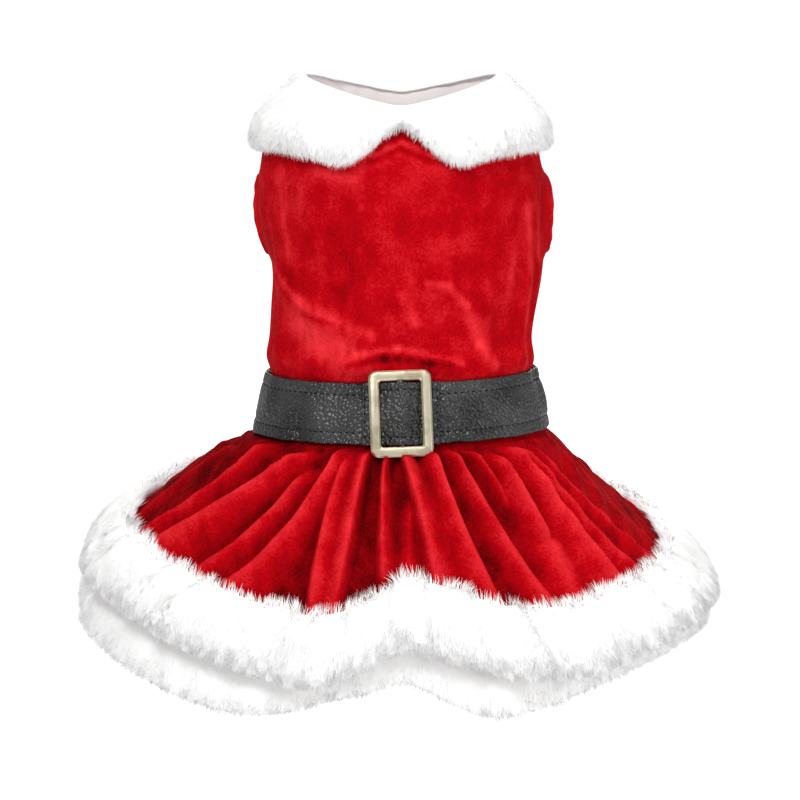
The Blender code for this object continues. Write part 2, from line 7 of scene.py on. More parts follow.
import bmesh
import bpy
import numpy as np
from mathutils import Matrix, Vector


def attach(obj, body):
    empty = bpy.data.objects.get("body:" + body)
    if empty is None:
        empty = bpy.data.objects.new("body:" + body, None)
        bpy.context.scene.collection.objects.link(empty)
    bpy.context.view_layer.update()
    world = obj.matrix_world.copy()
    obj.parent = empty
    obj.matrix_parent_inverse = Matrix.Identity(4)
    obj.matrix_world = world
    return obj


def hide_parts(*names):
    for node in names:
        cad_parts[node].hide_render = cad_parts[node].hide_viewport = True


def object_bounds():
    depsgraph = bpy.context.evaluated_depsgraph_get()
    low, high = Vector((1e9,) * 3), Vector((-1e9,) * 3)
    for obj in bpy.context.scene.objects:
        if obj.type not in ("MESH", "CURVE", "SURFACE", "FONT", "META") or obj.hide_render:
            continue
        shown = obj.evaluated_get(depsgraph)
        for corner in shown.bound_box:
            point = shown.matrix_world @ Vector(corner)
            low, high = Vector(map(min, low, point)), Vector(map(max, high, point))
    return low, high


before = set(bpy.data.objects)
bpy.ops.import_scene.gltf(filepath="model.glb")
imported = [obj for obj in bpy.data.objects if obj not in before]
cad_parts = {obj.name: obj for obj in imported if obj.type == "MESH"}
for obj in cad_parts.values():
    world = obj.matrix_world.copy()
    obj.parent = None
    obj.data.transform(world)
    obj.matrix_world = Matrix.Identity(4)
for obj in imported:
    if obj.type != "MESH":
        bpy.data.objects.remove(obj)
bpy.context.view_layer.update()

# The forms that the velvet, the leather and the fur all follow

torsoForm = {
    "neckHalfWidth": 0.053, "neckHalfDepth": 0.043,
    "chestHalfWidth": 0.0775, "chestHalfDepth": 0.063,
    "waistHalfWidth": 0.0705, "waistHalfDepth": 0.057,
    "length": 0.178, "neckRise": 0.01, "dipBack": 0.0145, "dipBelly": 0.014,
    # drop is a share of the length; fill goes from the neck's size at 0 by the chest's at 1 to the
    # waist's at 2
    "drop": [-0.08, -0.056, -0.01, 0.05, 0.136, 0.239, 0.352, 0.489, 0.625, 0.75, 0.845, 1.0],
    "fill": [-0.15, 0.0, 0.27, 0.55, 0.84, 0.98, 1.0, 1.25, 1.56, 1.84, 2.0, 2.0],
}
legOpening = {
    "halfWidth": 0.018, "halfHeight": 0.021, "angle": 107.0, "drop": 0.068,
    "lip": 0.0045, "lipWidth": 0.008, "binding": 0.0019,
}
beltForm = {
    "top": 0.1518, "height": 0.0325, "wall": 0.0022, "flare": 0.0077, "tilt": 0.018,
    "tuck": 0.7, "skirtStart": 0.0013,
}
clothForm = {"wall": 0.0014, "gap": 0.0004}
skirtForm = {
    "halfWidth": 0.169, "halfDepth": 0.097, "drop": 0.122, "frontPuff": 1.35,
    "leftPuff": 1.42, "rightPuff": 0.95, "bellyPuff": 0.88, "bellyTurn": 0.45,
    "underInset": 0.013, "underShow": 0.027,
    "hemAngle": [-180, -150, -125, -105, -90, -66, -47, -30, -17, -8, 1, 10, 21, 30, 40, 52, 68, 92,
                 105, 125, 150],
    "hemDrop": [0.32, 0.33, 0.37, 0.47, 0.59, 0.69, 0.82, 0.95, 1.0, 0.95, 0.84, 0.89, 0.97, 0.99,
                0.96, 0.9, 0.82, 0.74, 0.65, 0.51, 0.38],
    "underAngle": [-180, -110, -66, -44, -28, -14, -4, 6, 15, 24, 38, 60, 90, 130],
    "underDrop": [0.45, 0.6, 0.95, 1.0, 0.8, 0.36, 0.5, 0.8, 0.95, 0.66, 0.32, 0.22, 0.24, 0.45],
}
stackDepth = 2 * clothForm["wall"] + 3 * clothForm["gap"]


def wrap(angle):
    return (angle + 180) % 360 - 180


def smoothRead(xs, ys, x, around=False):
    # A smooth curve through a table's points, read at every x.
    xs, ys = np.array(xs, float), np.array(ys, float)
    x = np.asarray(x, float)
    if around:
        x = wrap(x)
        xs = np.concatenate((xs[-1:] - 360, xs, xs[:2] + 360))
        ys = np.concatenate((ys[-1:], ys, ys[:2]))
    before = np.maximum(np.arange(len(xs)) - 1, 0)
    after = np.minimum(np.arange(len(xs)) + 1, len(xs) - 1)
    slopes = (ys[after] - ys[before]) / (xs[after] - xs[before])
    i = np.clip(np.searchsorted(xs, x, side="right") - 1, 0, len(xs) - 2)
    run = xs[i + 1] - xs[i]
    s = np.clip((x - xs[i]) / run, 0, 1)
    value = (
        (2 * s**3 - 3 * s**2 + 1) * ys[i] + (s**3 - 2 * s**2 + s) * slopes[i] * run
        + (3 * s**2 - 2 * s**3) * ys[i + 1] + (s**3 - s**2) * slopes[i + 1] * run
    )
    return value + np.minimum(x - xs[0], 0) * slopes[0]


def ripple(x, y, size, seed, waves=9):
    # Soft irregular dents about this far apart, from -1 to 1.
    turn = np.random.default_rng(seed)
    total = np.zeros(np.broadcast(x, y).shape)
    for _ in range(waves):
        heading = turn.uniform(0, 2 * math.pi)
        length = size * turn.uniform(0.7, 1.6)
        phase = turn.uniform(0, 2 * math.pi)
        along = x * math.cos(heading) + y * math.sin(heading)
        total = total + np.sin(2 * math.pi * along / length + phase)
    return total / math.sqrt(waves * 2)


def step01(x):
    x = np.clip(x, 0, 1)
    return x * x * (3 - 2 * x)


def bell(x):
    return np.exp(-np.square(x))


def ringPoint(angle, halfWidth, halfDepth, z):
    turn = np.radians(angle)
    parts = np.broadcast_arrays(halfWidth * np.sin(turn), -halfDepth * np.cos(turn), z)
    return np.stack(parts, axis=-1)


def unit(v):
    return v / np.maximum(np.linalg.norm(v, axis=-1, keepdims=True), 1e-12)


def surfaceFrame(surface, angle, along, step=0.002):
    # Points on a form with the outward normal, the way round and the way down at each.
    point = surface(angle, along)
    across = surface(angle + 0.4, along) - surface(angle - 0.4, along)
    down = unit(surface(angle, along + step) - surface(angle, along - step))
    normal = unit(np.cross(down, across))
    return point, normal, unit(across), down


def neckEdge(angle):
    t = torsoForm
    turn = np.radians(angle)
    side = np.hypot(np.sin(turn), 0.08) / math.hypot(1, 0.08)
    dip = np.where(np.cos(turn) > 0, t["dipBack"], t["dipBelly"])
    return t["neckRise"] - dip * (1 - side)


def torsoSizes(z):
    t = torsoForm
    fill = smoothRead(t["drop"], t["fill"], -z / t["length"])
    upper, lower = np.minimum(fill, 1), np.maximum(fill - 1, 0)
    sizes = []
    for way in ("HalfWidth", "HalfDepth"):
        neck, chest, waist = (t[part + way] for part in ("neck", "chest", "waist"))
        sizes.append(neck + (chest - neck) * upper + (waist - chest) * lower)
    return sizes


def plainTorso(angle, z):
    halfWidth, halfDepth = torsoSizes(z)
    return ringPoint(angle, halfWidth, halfDepth, z)


def plainOutward(angle):
    return unit(ringPoint(angle, torsoForm["chestHalfDepth"], torsoForm["chestHalfWidth"], 0.0))


def beltInner(angle, share):
    b, t = beltForm, torsoForm
    out = stackDepth - b["flare"] * (1 - b["tuck"]) + b["flare"] * share
    z = -b["top"] - b["height"] * share
    point = ringPoint(angle, t["waistHalfWidth"] + out, t["waistHalfDepth"] + out, z)
    point[..., 2] += b["tilt"] * point[..., 0]
    return point


def inside(point, distance):
    level = point * np.array([1.0, 1.0, 0.0])
    return point - unit(level) * np.asarray(distance)[..., None]


def skirtTop(angle, depth):
    point = inside(beltInner(angle, 1.0), depth)
    point[..., 2] -= beltForm["skirtStart"] + depth - clothForm["gap"]
    return point


def plainSkirt(angle, share):
    # The upper tier's form without folds: share 0 at the belt, 1 at the hem.
    s = skirtForm
    angle, share = np.broadcast_arrays(np.asarray(angle, float), np.asarray(share, float))
    waist = skirtTop(angle, clothForm["gap"])
    drop = s["drop"] * smoothRead(s["hemAngle"], s["hemDrop"], angle, around=True)
    hem = ringPoint(angle, s["halfWidth"], s["halfDepth"], waist[..., 2] - drop)
    turn = np.radians(angle)
    facing = np.where(np.cos(turn) > 0, np.abs(np.sin(turn)), 1.0)
    sidePuff = (s["leftPuff"] + s["rightPuff"]) / 2 + (s["rightPuff"] - s["leftPuff"]) / 2 * np.sin(turn)
    puff = s["frontPuff"] + (sidePuff - s["frontPuff"]) * facing**2
    puff = puff + (s["bellyPuff"] - puff) * step01(-np.cos(turn) / s["bellyTurn"])
    point = waist + (hem - waist) * share[..., None]
    point[..., 2] = waist[..., 2] - drop * np.maximum(share, 0) ** puff
    return point


def plainUnder(angle, share):
    # The under tier's form: a growing distance inside the upper one.
    point, normal, _, _ = surfaceFrame(plainSkirt, angle, np.maximum(share, 0.01))
    least = clothForm["wall"] + clothForm["gap"]
    inset = least + (skirtForm["underInset"] - least) * np.clip(share, 0, 1)
    return point - normal * inset[..., None]


def underEnd(angle):
    s = skirtForm
    show = s["underShow"] * smoothRead(s["underAngle"], s["underDrop"], angle, around=True)
    tenth = np.linalg.norm(plainSkirt(angle, 1.1) - plainSkirt(angle, 1.0), axis=-1)
    return 1 + show * 0.1 / tenth


def shareAbove(surface, angle, end, distance):
    # The share that lies this far up the cloth from the share at its end.
    steps = np.linspace(0, 0.94, 95)
    shares = end[..., None] - steps
    points = surface(np.repeat(angle[..., None], len(steps), axis=-1), shares)
    lengths = np.linalg.norm(np.diff(points, axis=-2), axis=-1).cumsum(axis=-1)
    passed = (lengths < distance).sum(axis=-1)
    return np.maximum(end - steps[np.minimum(passed + 1, len(steps) - 1)], 0.06)


# Ways of making meshes

def aroundDress(u):
    # The angle at a share of a grid's columns, which stand closest on the side on show.
    turn = 2 * math.pi * (u - 0.5)
    return np.degrees(turn - 0.45 * np.sin(turn))


def writeValues(mesh, name, values):
    # A value from 0 to 1 at every vertex, for the materials.
    layer = mesh.attributes.new(name, "FLOAT", "POINT")
    layer.data.foreach_set("value", np.clip(values, 0, 1).astype(np.float32))


def bentGrid(name, columns, rows, place, napAndPaintedLightOf=None):
    # A grid whose every point is placed by its share across (u) and down (v), seams closed.
    # Its attribute of painted light and pile streaks is 0 for painted shade deep in a fold, 0.5 on flat
    # cloth and 1 for a painted highlight on a crest.
    mesh = bpy.data.meshes.new(name)
    bm = bmesh.new()
    bmesh.ops.create_grid(bm, x_segments=columns, y_segments=rows, size=0.5, calc_uvs=True)
    bm.to_mesh(mesh)
    bm.free()
    flat = np.empty(len(mesh.vertices) * 3)
    mesh.vertices.foreach_get("co", flat)
    flat = flat.reshape(-1, 3)
    u, v = np.round(flat[:, 0] + 0.5, 9), np.round(0.5 - flat[:, 1], 9)
    mesh.vertices.foreach_set("co", np.ascontiguousarray(place(u, v)).ravel())
    writeValues(mesh, "napAndPaintedLight", napAndPaintedLightOf(u, v) if napAndPaintedLightOf else np.full(len(u), 0.5))
    bm = bmesh.new()
    bm.from_mesh(mesh)
    bmesh.ops.remove_doubles(bm, verts=bm.verts, dist=2e-6)
    bmesh.ops.recalc_face_normals(bm, faces=bm.faces)
    bm.to_mesh(mesh)
    bm.free()
    return mesh


def faceOutward(mesh):
    # Turns an open sheet's faces away from the dress's axis.
    bm = bmesh.new()
    bm.from_mesh(mesh)
    if sum(face.normal.xy.dot(face.calc_center_median().xy) for face in bm.faces) < 0:
        bmesh.ops.reverse_faces(bm, faces=bm.faces)
    bm.to_mesh(mesh)
    bm.free()


def addObject(name, data):
    made = bpy.data.objects.new(name, data)
    bpy.context.scene.collection.objects.link(made)
    return made


def addPiece(name, mesh, material, nodes):
    piece = addObject(name, mesh)
    mesh.materials.append(material)
    mesh.shade_smooth()
    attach(piece, "root")
    if nodes:
        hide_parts(*nodes)
    return piece


def addWall(piece, thickness):
    wall = piece.modifiers.new("wall", "SOLIDIFY")
    wall.thickness = thickness
    wall.offset = -1
    wall.use_even_offset = True
    wall.use_rim = True


# Materials

velvetLook = {
    # the darkest colour is painted shade for the valleys of folds, the lightest a painted highlight for
    # crests and sheen; red is the velvet's own colour
    "deep": (0.085, 0.0003, 0.001), "red": (0.44, 0.001, 0.005), "napAndPaintedLight": (0.88, 0.036, 0.048),
    "fromPaintedLight": 0.8, "fromPatches": 0.13, "fromGrain": 0.1,
    "patchSize": 75.0, "grainSize": 620.0, "pileDepth": 0.0004, "pileHeight": 0.5,
    "shader": {
        "Roughness": 0.85, "Specular IOR Level": 0.02, "Sheen Weight": 0.1, "Sheen Roughness": 0.3,
        "Sheen Tint": (1.0, 0.1, 0.1, 1),
    },
}
furLook = {
    # the root colour is painted shade deep in the fur; the tip colour is the fur's own white
    "root": (0.6, 0.6, 0.605), "tip": (0.93, 0.93, 0.925),
    # the faint white glow is painted light that lifts the fur's shade
    "shader": {
        "Roughness": 0.9, "Specular IOR Level": 0.2, "Sheen Weight": 0.15, "Sheen Roughness": 0.5,
        "Emission Color": (1, 1, 1, 1), "Emission Strength": 0.105,
    },
}
leatherLook = {
    # the leather is paler in soft random patches
    "black": (0.004, 0.004, 0.0045), "worn": (0.032, 0.032, 0.033), "shader": {"Roughness": 0.29},
    "pebble": 540.0, "depth": 0.0009, "smoothness": 0.35, "patchSize": 40.0, "grainSize": 300.0,
}
threadLook = {
    # the dark colour is painted shade, scattered in a fine grain over the thread
    "colour": (0.0022, 0.0022, 0.0024), "dark": (0.00132, 0.00132, 0.00144),
    "patchSize": 300.0, "grainSize": 2500.0,
    "shader": {"Roughness": 0.8, "Specular IOR Level": 0.1},
}
brassLook = {
    "light": (0.72, 0.66, 0.49), "dull": (0.5, 0.44, 0.3),
    "shader": {"Metallic": 1.0, "Roughness": 0.34},
    "patchSize": 90.0, "grainSize": 420.0, "grainDepth": 0.0002, "grainHeight": 0.15,
}


def setInputs(node, values):
    for name, value in values.items():
        node.inputs[name].default_value = value


def newMaterial(name, values):
    material = bpy.data.materials.new(name)
    material.use_nodes = True
    nodes = material.node_tree.nodes
    setInputs(nodes["Principled BSDF"], values)
    return material, nodes, material.node_tree.links, nodes["Principled BSDF"]


def speckleGroup():
    # Soft patches and fine grain over a surface, each from 0 to 1.
    group = bpy.data.node_groups.new("patchesAndGrain", "ShaderNodeTree")
    for name, way, kind in (
        ("Vector", "INPUT", "Vector"), ("PatchScale", "INPUT", "Float"),
        ("GrainScale", "INPUT", "Float"), ("Patches", "OUTPUT", "Float"), ("Grain", "OUTPUT", "Float"),
    ):
        group.interface.new_socket(name, in_out=way, socket_type="NodeSocket" + kind)
    entry = group.nodes.new("NodeGroupInput")
    leave = group.nodes.new("NodeGroupOutput")
    for scale, detail, result in (("PatchScale", 6.0, "Patches"), ("GrainScale", 2.0, "Grain")):
        cloud = group.nodes.new("ShaderNodeTexNoise")
        setInputs(cloud, {"Detail": detail})
        spread = group.nodes.new("ShaderNodeMapRange")
        spread.interpolation_type = "SMOOTHSTEP"
        setInputs(spread, {"From Min": 0.28, "From Max": 0.72})
        group.links.new(entry.outputs["Vector"], cloud.inputs["Vector"])
        group.links.new(entry.outputs[scale], cloud.inputs["Scale"])
        group.links.new(cloud.outputs["Fac"], spread.inputs["Value"])
        group.links.new(spread.outputs["Result"], leave.inputs[result])
    return group


speckles = speckleGroup()


def placeSpeckles(nodes, links, look):
    where = nodes.new("ShaderNodeTexCoord")
    group = nodes.new("ShaderNodeGroup")
    group.node_tree = speckles
    setInputs(group, {"PatchScale": look["patchSize"], "GrainScale": look["grainSize"]})
    links.new(where.outputs["Object"], group.inputs["Vector"])
    return where, group


def paintBase(nodes, links, shader, value, stops):
    # Colours a shader by a value that runs through the stops.
    ramp = nodes.new("ShaderNodeValToRGB")
    while len(ramp.color_ramp.elements) < len(stops):
        ramp.color_ramp.elements.new(0.5)
    for element, (position, colour) in zip(ramp.color_ramp.elements, stops):
        element.position = position
        element.color = (*colour, 1)
    links.new(value, ramp.inputs["Fac"])
    links.new(ramp.outputs["Color"], shader.inputs["Base Color"])


def addBump(nodes, links, shader, height, distance, strength=1.0):
    bump = nodes.new("ShaderNodeBump")
    setInputs(bump, {"Distance": distance, "Strength": strength})
    links.new(height, bump.inputs["Height"])
    links.new(bump.outputs["Normal"], shader.inputs["Normal"])


def makeVelvet():
    look = velvetLook
    material, nodes, links, shader = newMaterial("redVelvet", look["shader"])
    _, group = placeSpeckles(nodes, links, look)
    # the painted light and shade that the meshes carry, mixed with random patches and grain
    folds = nodes.new("ShaderNodeAttribute")
    folds.attribute_name = "napAndPaintedLight"
    total = None
    for source, share in (
        (folds.outputs["Fac"], look["fromPaintedLight"]), (group.outputs["Patches"], look["fromPatches"]),
        (group.outputs["Grain"], look["fromGrain"]),
    ):
        part = nodes.new("ShaderNodeMath")
        part.operation = "MULTIPLY_ADD"
        part.inputs[1].default_value = share
        part.inputs[2].default_value = 0.0
        links.new(source, part.inputs[0])
        if total:
            links.new(total, part.inputs[2])
        total = part.outputs["Value"]
    stops = [(0.12, look["deep"]), (0.46, look["red"]), (0.94, look["napAndPaintedLight"])]
    paintBase(nodes, links, shader, total, stops)
    addBump(nodes, links, shader, group.outputs["Grain"], look["pileDepth"], look["pileHeight"])
    return material


def makeFur():
    look = furLook
    material, nodes, links, shader = newMaterial("whiteFur", look["shader"])
    shade = nodes.new("ShaderNodeAttribute")
    shade.attribute_name = "shade"
    stops = [(0.0, look["root"]), (0.6, look["tip"])]
    paintBase(nodes, links, shader, shade.outputs["Fac"], stops)
    return material


def makeLeather():
    look = leatherLook
    material, nodes, links, shader = newMaterial("blackLeather", look["shader"])
    where, group = placeSpeckles(nodes, links, look)
    stops = [(0.0, look["black"]), (1.0, look["worn"])]
    paintBase(nodes, links, shader, group.outputs["Patches"], stops)
    pebble = nodes.new("ShaderNodeTexVoronoi")
    pebble.feature = "SMOOTH_F1"
    setInputs(pebble, {"Scale": look["pebble"], "Smoothness": look["smoothness"]})
    links.new(where.outputs["Object"], pebble.inputs["Vector"])
    flip = nodes.new("ShaderNodeMath")
    flip.operation = "SUBTRACT"
    flip.inputs[0].default_value = 1.0
    links.new(pebble.outputs["Distance"], flip.inputs[1])
    addBump(nodes, links, shader, flip.outputs["Value"], look["depth"])
    return material


def makeThread():
    look = threadLook
    material, nodes, links, shader = newMaterial("darkThread", look["shader"])
    _, group = placeSpeckles(nodes, links, look)
    stops = [(0.0, look["dark"]), (1.0, look["colour"])]
    paintBase(nodes, links, shader, group.outputs["Grain"], stops)
    return material


def makeBrass():
    look = brassLook
    material, nodes, links, shader = newMaterial("paleBrass", look["shader"])
    _, group = placeSpeckles(nodes, links, look)
    stops = [(0.0, look["dull"]), (0.55, look["light"])]
    paintBase(nodes, links, shader, group.outputs["Patches"], stops)
    addBump(nodes, links, shader, group.outputs["Grain"], look["grainDepth"], look["grainHeight"])
    return material


redVelvet, whiteFur = makeVelvet(), makeFur()
blackLeather, darkThread, paleBrass = makeLeather(), makeThread(), makeBrass()
print("materials made")

# Bodice

bodiceLook = {
    "columns": 320, "rows": 104, "dent": 0.0006, "dentSize": 0.034, "gather": 0.0009, "neckTuck": 0.0032,
    "leftIn": 0.0048, "rightOut": 0.002, "sideDrop": 0.098,
    "puff": 0.0027, "puffAt": 0.0065, "puffWidth": 0.0075, "leftLip": 0.55,
    # the velvet's level on flat cloth, and how much painted light and shade a fold's slope gives
    "pile": 0.44, "paintedFoldLight": 60,
    # angle and drop at both ends of each straight fold, its width and its height
    "folds": [
        (-66, 0.098, -14, 0.134, 0.0095, 0.003), (-70, 0.135, -30, 0.15, 0.0075, 0.0018),
        (14, 0.098, 36, 0.114, 0.007, 0.002), (36, 0.114, 44, 0.142, 0.007, 0.002),
        (-24, 0.146, 30, 0.146, 0.006, 0.0018), (66, 0.092, 62, 0.153, 0.007, 0.002),
        (78, 0.095, 74, 0.15, 0.005, 0.0015), (-22, 0.033, 0, 0.0205, 0.0034, 0.0016),
        (0, 0.0205, 22, 0.033, 0.0034, 0.0016), (140, 0.107, 215, 0.132, 0.01, 0.002),
    ],
    # painted highlights where the strength is above 0 and painted shadows where it is below: the same for
    # each stroke, with its strength last
    "paintedLightStrokes": [
        (-67, 0.0938, -47, 0.1097, 0.0028, 0.3), (-47, 0.1097, -12, 0.1267, 0.0033, 0.28),
        (-48, 0.1245, -24, 0.1373, 0.0121, 0.34), (11, 0.0975, 20, 0.0995, 0.0022, 0.25),
        (20, 0.0995, 28, 0.1107, 0.0025, 0.28), (28, 0.1107, 36, 0.1321, 0.0028, 0.25),
        (36, 0.1321, 44, 0.1446, 0.0028, 0.28), (0, 0.1041, 6, 0.1198, 0.0028, 0.22),
        (63, 0.0597, 69, 0.1498, 0.004, 0.22), (76, 0.0699, 79, 0.1121, 0.003, 0.2),
        (53, 0.0874, 51, 0.1084, 0.003, 0.15), (-57, 0.0419, -54, 0.0876, 0.0048, 0.22),
        (-45, 0.0491, -42, 0.0684, 0.0045, 0.12), (-35, 0.0386, -20, 0.0425, 0.0033, 0.22),
        (-12, 0.0288, 0, 0.0214, 0.0019, 0.3), (0, 0.0214, 13, 0.0289, 0.0019, 0.3),
        (-12, 0.0321, 0, 0.0253, 0.0018, -0.2), (0, 0.0253, 13, 0.0322, 0.0018, -0.2),
        (-19, 0.1365, -1, 0.1333, 0.002, 0.28), (-1, 0.1333, 27, 0.1421, 0.002, 0.28),
        (-23, 0.1429, -7, 0.1384, 0.0022, -0.3), (-7, 0.1384, 22, 0.1417, 0.0022, -0.3),
        (-23, 0.0891, -22, 0.1002, 0.0154, -0.1), (-45, 0.1167, -29, 0.1209, 0.0018, -0.18),
        (-61, 0.1477, -38, 0.1519, 0.0022, -0.15),
    ],
}


def legDistance(angle, z):
    # 1 on the edge of a leg opening, less inside it.
    leg = legOpening
    across = np.radians(np.abs(angle) - leg["angle"]) * torsoForm["chestHalfWidth"]
    return np.hypot(across / leg["halfWidth"], (-z - leg["drop"]) / leg["halfHeight"])


def strokesAt(angle, z, strokes):
    # What straight strokes add at a place on the bodice, each fading over its width.
    radius = torsoForm["chestHalfWidth"]
    total = np.zeros(np.broadcast(angle, z).shape)
    for fromAngle, fromDrop, toAngle, toDrop, width, strength in strokes:
        x, y = np.radians(wrap(angle - fromAngle)) * radius, -z - fromDrop
        runX, runY = math.radians(toAngle - fromAngle) * radius, toDrop - fromDrop
        share = np.clip((x * runX + y * runY) / (runX**2 + runY**2), 0, 1)
        total = total + strength * bell(np.hypot(x - runX * share, y - runY * share) / width)
    return total


def bodiceFolds(angle, z):
    return strokesAt(angle, z, bodiceLook["folds"])


def bodiceOut(angle, z):
    # How far the velvet stands out from the plain form.
    look, leg = bodiceLook, legOpening
    away = (legDistance(angle, z) - 1) * leg["halfWidth"] / leg["lipWidth"]
    lip = leg["lip"] * np.where(angle < 0, look["leftLip"], 1) * bell(away)
    x = np.radians(angle) * torsoForm["chestHalfWidth"]
    out = bodiceFolds(angle, z) + look["dent"] * ripple(x, z, look["dentSize"], 3)
    gathered = step01((-z - 0.125) / 0.02) + step01((0.045 + z) / 0.02)
    out = out + look["gather"] * ripple(x, z * 0.25, 0.017, 5) * gathered
    calm = step01((z + beltForm["top"] - 0.0005) / 0.014) * step01((neckEdge(angle) - z - 0.004) / 0.02)
    puff = look["puff"] * bell((-z - beltForm["top"] + look["puffAt"]) / look["puffWidth"])
    side = np.where(angle < 0, -look["leftIn"], look["rightOut"])
    side = side * bell((np.abs(angle) - 88) / 34) * bell((-z - look["sideDrop"]) / 0.021)
    return lip + out * calm + puff + side


def bodicePaintedLight(angle, z):
    # Painted light on the velvet: lighter or darker by the way each fold's side slopes, painted highlights
    # and shadows along the listed strokes, and real streaks down its length.
    x = np.radians(angle) * torsoForm["chestHalfWidth"]
    fold = bodiceFolds(angle, z) - bodiceFolds(angle, z + 0.006)
    streaks = 0.03 * ripple(x, z * 0.3, 0.01, 7, 16) + 0.035 * ripple(x * 0.6, z * 0.5, 0.026, 9)
    rough = 1 + 0.4 * ripple(x, z * 0.6, 0.0075, 19, 14)
    paintedLightStrokes = strokesAt(angle, z, bodiceLook["paintedLightStrokes"]) * rough
    return bodiceLook["pile"] - bodiceLook["paintedFoldLight"] * fold + streaks + paintedLightStrokes


def bodicePoint(angle, z):
    return plainTorso(angle, z) + plainOutward(angle) * bodiceOut(angle, z)[..., None]


def makeBodice():
    look, t = bodiceLook, torsoForm

    def fromGrid(surface):
        def read(u, v):
            angle = aroundDress(u)
            top = neckEdge(angle) - look["neckTuck"]
            return surface(wrap(angle), top + (-t["length"] - top) * v)

        return read

    mesh = bentGrid(
        "bodiceVelvet", look["columns"], look["rows"], fromGrid(bodicePoint), fromGrid(bodicePaintedLight)
    )
    faceOutward(mesh)
    cutLegOpenings(mesh)
    piece = addPiece("bodiceVelvet", mesh, redVelvet, ["bodice"])
    addWall(piece, clothForm["wall"])
    return piece


def cutLegOpenings(mesh):
    # Takes out the faces inside each opening and draws the edge onto its oval.
    t, leg = torsoForm, legOpening
    bm = bmesh.new()
    bm.from_mesh(mesh)

    def reading(point):
        angle = math.degrees(math.atan2(point.x / t["chestHalfWidth"], -point.y / t["chestHalfDepth"]))
        return angle, float(legDistance(np.array(angle), np.array(point.z)))

    gone = [face for face in bm.faces if reading(face.calc_center_median())[1] < 1.0]
    bmesh.ops.delete(bm, geom=gone, context="FACES")
    for vert in bm.verts:
        angle, away = reading(vert.co)
        if vert.is_boundary and 0.6 < away < 1.4:
            side = 1 if angle > 0 else -1
            across = (abs(angle) - leg["angle"]) / away
            z = -leg["drop"] + (vert.co.z + leg["drop"]) / away
            new = bodicePoint(np.array(side * (leg["angle"] + across)), np.array(z))
            vert.co = Vector(new)
    bm.to_mesh(mesh)
    bm.free()


def makeBindings():
    # The rolled velvet hem round each leg opening.
    leg, radius = legOpening, torsoForm["chestHalfWidth"]
    for side, name in ((-1, "legBindingLeft"), (1, "legBindingRight")):

        def oval(turn):
            across = math.degrees(leg["halfWidth"] / radius) * np.cos(turn)
            angle = side * (leg["angle"] + across)
            return bodicePoint(angle, -leg["drop"] + leg["halfHeight"] * np.sin(turn))

        def place(u, v):
            turn, roll = 2 * math.pi * u, 2 * math.pi * v
            middle = oval(turn)
            ahead = unit(oval(turn + 0.02) - oval(turn - 0.02))
            outward = plainOutward(np.full_like(u, side * leg["angle"]))
            aside = unit(np.cross(ahead, outward))
            size = leg["binding"] * (1 + 0.1 * np.sin(13 * turn) * np.sin(roll + turn))
            around = aside * np.cos(roll)[..., None] + outward * np.sin(roll)[..., None]
            return middle + around * size[..., None]

        mesh = bentGrid(name, 96, 12, place)
        addPiece(name, mesh, redVelvet, None)


bodicePiece = makeBodice()
makeBindings()
print("bodice made")

# Skirts

skirtLook = {
    "columns": 480, "upperRows": 66, "underRows": 26, "height": 0.0115, "merge": 0.035, "lean": 1.3,
    "dent": 0.0008, "dentSize": 0.024, "gather": 0.0016,
    # the crest's angle at the belt, half way and at the hem, how far it falls away to the left and
    # to the right in degrees, its height, and the shares where it starts and ends
    "folds": [
        (-90, -98, -106, 3.0, 8.0, 0.12, 0.1, 1.1), (-76, -83, -93, 3.0, 9.0, 0.18, 0.1, 1.1),
        (-53, -62, -86, 2.2, 9.5, 0.62, 0.03, 1.1), (-31, -51, -76, 2.0, 12.5, 1.05, 0.05, 1.1),
        (-27, -37, -60, 2.2, 8.0, 0.8, 0.16, 1.1), (-21, -29, -50, 2.0, 9.5, 1.0, 0.02, 1.1),
        (-17, -19, -17, 2.0, 6.0, 0.95, 0.06, 0.95), (-11, -12, -15, 7.5, 1.7, 1.05, 0.02, 1.1),
        (-5, -4, -2, 2.3, 2.6, 1.0, 0.05, 0.8), (4, 2, 2, 3.0, 3.5, 0.38, 0.34, 1.1),
        (-1, 5, 8, 1.7, 6.5, 1.15, 0.04, 1.1), (11, 15, 26, 8.0, 1.9, 1.0, 0.02, 1.1),
        (17, 25, 41, 6.5, 2.1, 0.95, 0.03, 1.1), (23, 33, 42, 4.5, 2.0, 0.8, 0.03, 0.42),
        (31, 37, 40, 7.0, 2.1, 1.05, 0.06, 0.62), (40, 48, 57, 9.5, 2.1, 0.95, 0.02, 1.1),
        (34, 37, 41, 7.5, 7.0, 0.78, 0.44, 1.1),
        (47, 55, 70, 6.5, 2.0, 0.58, 0.02, 1.1), (56, 67, 86, 8.5, 2.2, 0.2, 0.03, 1.1),
        (74, 82, 96, 8.5, 2.6, 0.06, 0.06, 1.1),
    ],
    "bellyFrom": 104, "bellyTo": 247, "bellyStep": 13.0, "bellySides": 0.75,
    # painted light: the painted shade in a valley, the painted highlight that a crest adds, the painted
    # sheen that its edge adds, and the painted sheen on the right side
    "paintedValleyShade": 0.05, "paintedCrestHighlight": 0.42, "paintedEdgeSheen": 0.24, "paintedRightSheen": 0.15,
}


def allFolds():
    folds = list(skirtLook["folds"])
    angle = skirtLook["bellyFrom"]
    while angle <= skirtLook["bellyTo"]:
        wobble = 3 * math.sin(1.7 * angle)
        nearSide = math.exp(-(((70 - abs(angle - 180)) / 34) ** 2))
        tall = (0.66 + 0.16 * math.sin(angle)) * (1 - skirtLook["bellySides"] * nearSide)
        folds.append((angle, angle + wobble, angle + 2 * wobble, 5.0, 5.6, tall, 0.12, 1.1))
        angle += skirtLook["bellyStep"]
    return folds


